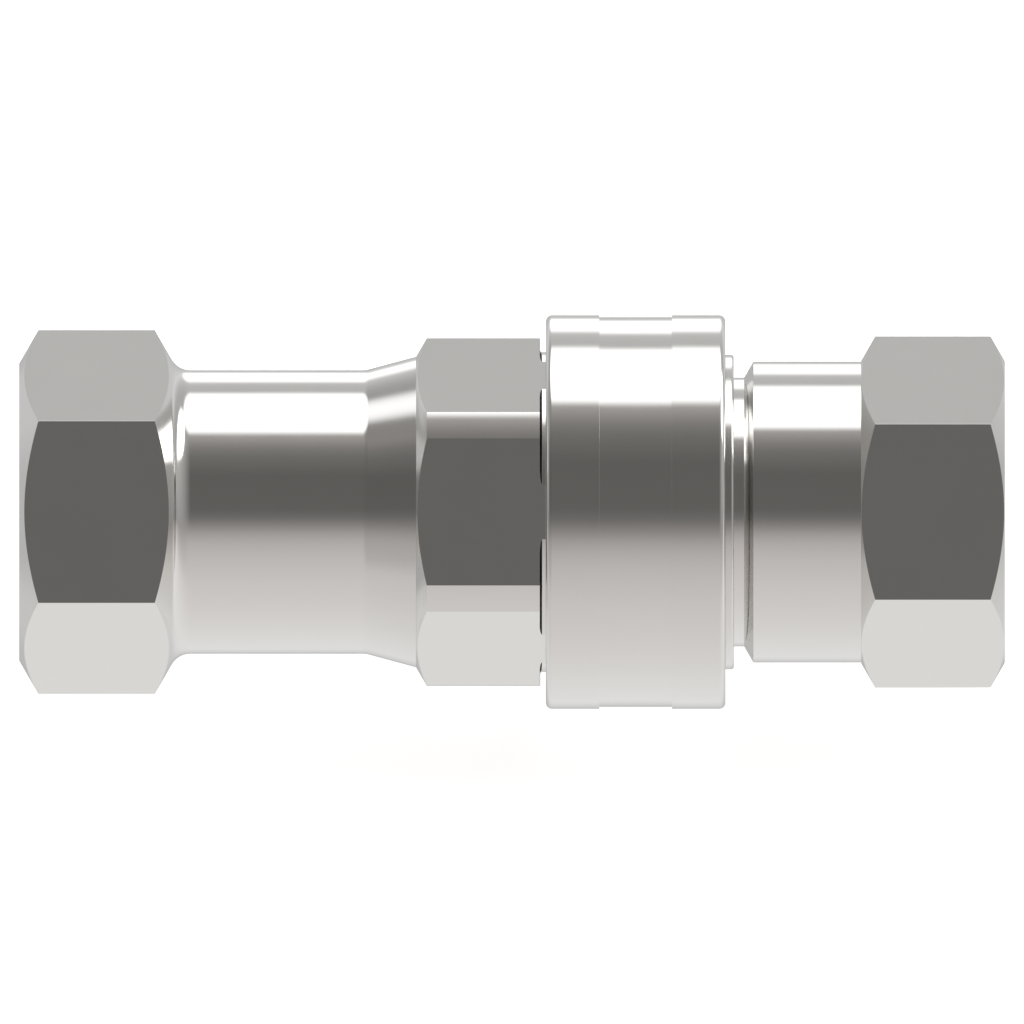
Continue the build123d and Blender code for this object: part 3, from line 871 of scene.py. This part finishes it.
# Studio round the coupling, as polished metal shows it: a pale floor, a dark curtain in front, a grey wall
# behind, end walls, and three oval diffusers. Degrees go round the flow axis, with 0 at the horizon in
# front, 90 straight up and 180 at the horizon behind. The other measure is how far a direction leans
# towards an end of the coupling, from -1 on the left to 1 on the right.
studio = {
    "round": [
        (-180, "#F4F4F4"),
        (-172, "#E2E2E2"),
        (-160, "#CECECE"),
        (-148, "#C8C8C8"),
        (-138, "#D8D8D8"),
        (-131, "#EAEAE9"),
        (-120, "#FFFFFF"),
        (-108, "#FFFFFF"),
        (-90, "#FEFDFC"),
        (-60, "#F4F1F0"),
        (-28, "#E9E5E4"),
        (-4, "#DAD6D5"),
        (5, "#CFCCCA"),
        (12, "#BDB9B7"),
        (19, "#9C9896"),
        (25, "#7E7C7B"),
        (32, "#6E6D6B"),
        (60, "#6C6B69"),
        (76, "#7E7D7B"),
        (84, "#918E8C"),
        (92, "#AFABA8"),
        (112, "#B6B3B0"),
        (146, "#CCCCCB"),
        (157, "#D6D6D5"),
        (180, "#F4F4F4"),
    ],
    "ends": [
        (-180, "#E6E6E6"),
        (-164, "#C5C5C5"),
        (-148, "#CACAC9"),
        (-136, "#D4D4D3"),
        (-128, "#E4E4E3"),
        (-105, "#FAF9F8"),
        (-60, "#F3F1F0"),
        (-36, "#EAE7E6"),
        (-4, "#C6C2C1"),
        (14, "#A8A6A5"),
        (32, "#ADACAB"),
        (60, "#B6B4B3"),
        (92, "#C0BEBC"),
        (150, "#B5B5B4"),
        (164, "#BCBCBB"),
        (180, "#E6E6E6"),
    ],
    "endShare": [(-1.0, 1.0), (-0.87, 1.0), (-0.74, 0.0), (0.0, 0.0), (0.2, 0.22), (0.5, 0.66), (0.82, 1.0)],
    "level": 0.866,  # strength of all of it at the middle
    "tilt": 0.095,  # how much more light the right end has than the middle
    # Middle and half size of each, round the axis and towards the ends: dark flags and pale patches on
    # the walls, then the diffusers. The overhead one has a brighter middle.
    "ovals": [
        {"degrees": (5.0, 22.0), "lean": (-0.6, 0.5), "rim": 0.4, "strength": 0.2, "cover": 0.2},
        {"degrees": (-158.0, 20.0), "lean": (-0.72, 0.4), "rim": 0.3, "strength": 1.0, "cover": 0.32},
        {"degrees": (-146.0, 32.0), "lean": (0.45, 0.25), "rim": 0.4, "strength": 1.0, "cover": 0.25},
        {"degrees": (145.0, 25.0), "lean": (-0.97, 0.12), "rim": 0.3, "strength": 0.85, "cover": 0.9},
        {"degrees": (-85.0, 32.0), "lean": (-0.97, 0.12), "rim": 0.3, "strength": 0.66, "cover": 0.9},
        {"degrees": (118.0, 40.0), "lean": (-0.34, 0.2), "rim": 0.45, "strength": 0.1, "cover": 0.3},
        {"degrees": (120.5, 23.3), "lean": (0.02, 0.43), "rim": 0.12, "strength": 1.6, "cover": 1.0},
        {"degrees": (120.5, 16.0), "lean": (0.03, 0.22), "rim": 0.25, "strength": 3.6, "cover": 1.0},
        {"degrees": (111.0, 25.5), "lean": (0.66, 0.23), "rim": 0.14, "strength": 3.4, "cover": 1.0},
        {"degrees": (174.9, 12.6), "lean": (0.0, 0.22), "rim": 0.25, "strength": 1.6, "cover": 1.0},
    ],
}


def makeWorld():
    world = bpy.data.worlds.new("studio")
    scene.world = world
    world.use_nodes = True
    tree = world.node_tree
    tree.nodes.clear()

    def ramp(place, stops):
        made = addNode(tree, "ShaderNodeValToRGB", inputs={0: place})
        elements = made.color_ramp.elements
        for at, (position, colour) in enumerate(stops):
            stop = elements[at] if at < 2 else elements.new(position)
            stop.position = position
            stop.color = colour
        return made.outputs[0]

    direction = addNode(tree, "ShaderNodeTexCoord").outputs["Generated"]
    part = addNode(tree, "ShaderNodeSeparateXYZ", inputs={0: direction})
    lean = part.outputs["X"]
    turn = maths(tree, "ARCTAN2", part.outputs["Z"], maths(tree, "MULTIPLY", part.outputs["Y"], -1.0))
    turnShare = maths(tree, "MULTIPLY_ADD", turn, 0.5 / math.pi, 0.5)
    zones = [
        ramp(turnShare, [(degrees / 360 + 0.5, linear(colour)) for degrees, colour in studio[name]])
        for name in ("round", "ends")
    ]
    leanShare = maths(tree, "MULTIPLY_ADD", lean, 0.5, 0.5)
    endShare = ramp(leanShare, [(at / 2 + 0.5, (share, share, share, 1)) for at, share in studio["endShare"]])
    colour = blendColours(tree, endShare, *zones)
    for oval in studio["ovals"]:
        middle, half = oval["degrees"]
        away = maths(tree, "WRAP", maths(tree, "SUBTRACT", turn, math.radians(middle)), math.pi, -math.pi)
        aside = maths(tree, "SUBTRACT", lean, oval["lean"][0])
        away = maths(tree, "DIVIDE", away, math.radians(half))
        aside = maths(tree, "DIVIDE", aside, oval["lean"][1])
        scaled = addNode(tree, "ShaderNodeCombineXYZ", inputs={0: away, 1: aside}).outputs[0]
        distance = vectorMaths(tree, "LENGTH", {0: scaled})["Value"]
        rim = (1 + oval["rim"], 1 - oval["rim"])
        inside = spread(tree, distance, rim, (0.0, oval["cover"]), {"interpolation_type": "SMOOTHSTEP"})
        colour = blendColours(tree, inside, colour, [oval["strength"]] * 3 + [1.0])
    level = maths(tree, "MULTIPLY_ADD", lean, studio["tilt"], studio["level"])
    light = addNode(tree, "ShaderNodeBackground", inputs={0: colour, 1: level})
    white = addNode(tree, "ShaderNodeBackground", inputs={0: (1, 1, 1, 1), 1: 1.0})
    seen = addNode(tree, "ShaderNodeLightPath").outputs["Is Camera Ray"]
    both = addNode(tree, "ShaderNodeMixShader", inputs={0: seen, 1: light.outputs[0], 2: white.outputs[0]})
    addNode(tree, "ShaderNodeOutputWorld", inputs={0: both.outputs[0]})


# Pale floor: white where the camera sees it, with the coupling's soft shadow. Metal sees the studio's
# own pale lower half in its place.
floor = {"size": 3.0, "ownLight": 0.75, "colour": "#F2F2F1"}


def makeFloor():
    height = cadBox[0].z
    half = floor["size"] / 2
    corners = [(x * half, y * half, height) for x, y in ((-1, -1), (1, -1), (1, 1), (-1, 1))]
    mesh = bpy.data.meshes.new("floor")
    mesh.from_pydata(corners, [], [(0, 1, 2, 3)])
    made = newObject("floor", mesh)
    material, tree = newMaterial("paintedFloorMatt")
    matt = addNode(tree, "ShaderNodeBsdfDiffuse", inputs={0: linear(floor["colour"])})
    seen = addNode(tree, "ShaderNodeLightPath").outputs["Is Camera Ray"]
    lift = maths(tree, "MULTIPLY", seen, floor["ownLight"])
    glow = addNode(tree, "ShaderNodeEmission", inputs={0: (1, 1, 1, 1), 1: lift})
    both = addNode(tree, "ShaderNodeAddShader", inputs={0: matt.outputs[0], 1: glow.outputs[0]})
    addNode(tree, "ShaderNodeOutputMaterial", inputs={0: both.outputs[0]})
    mesh.materials.append(material)
    made.visible_glossy = False


# The photograph is square to one flat, with no perspective: a long lens, 30 degrees above the floor.
camera = {"elevation": 30.0, "pixel": 0.14606, "frame": 1024, "distance": 500.0}


def makeCamera():
    lens = bpy.data.cameras.new("camera")
    lens.type = "ORTHO"
    lens.ortho_scale = camera["pixel"] * camera["frame"] * mm
    made = newObject("camera", lens)
    elevation = math.radians(camera["elevation"])
    back = Vector((0, -math.cos(elevation), math.sin(elevation)))
    made.location = back * camera["distance"] * mm
    made.rotation_euler = (-back).to_track_quat("-Z", "Y").to_euler()
    scene.camera = made


makeWorld()
makeFloor()
makeCamera()
scene.view_settings.view_transform = "Standard"
print("light, floor and camera ready")
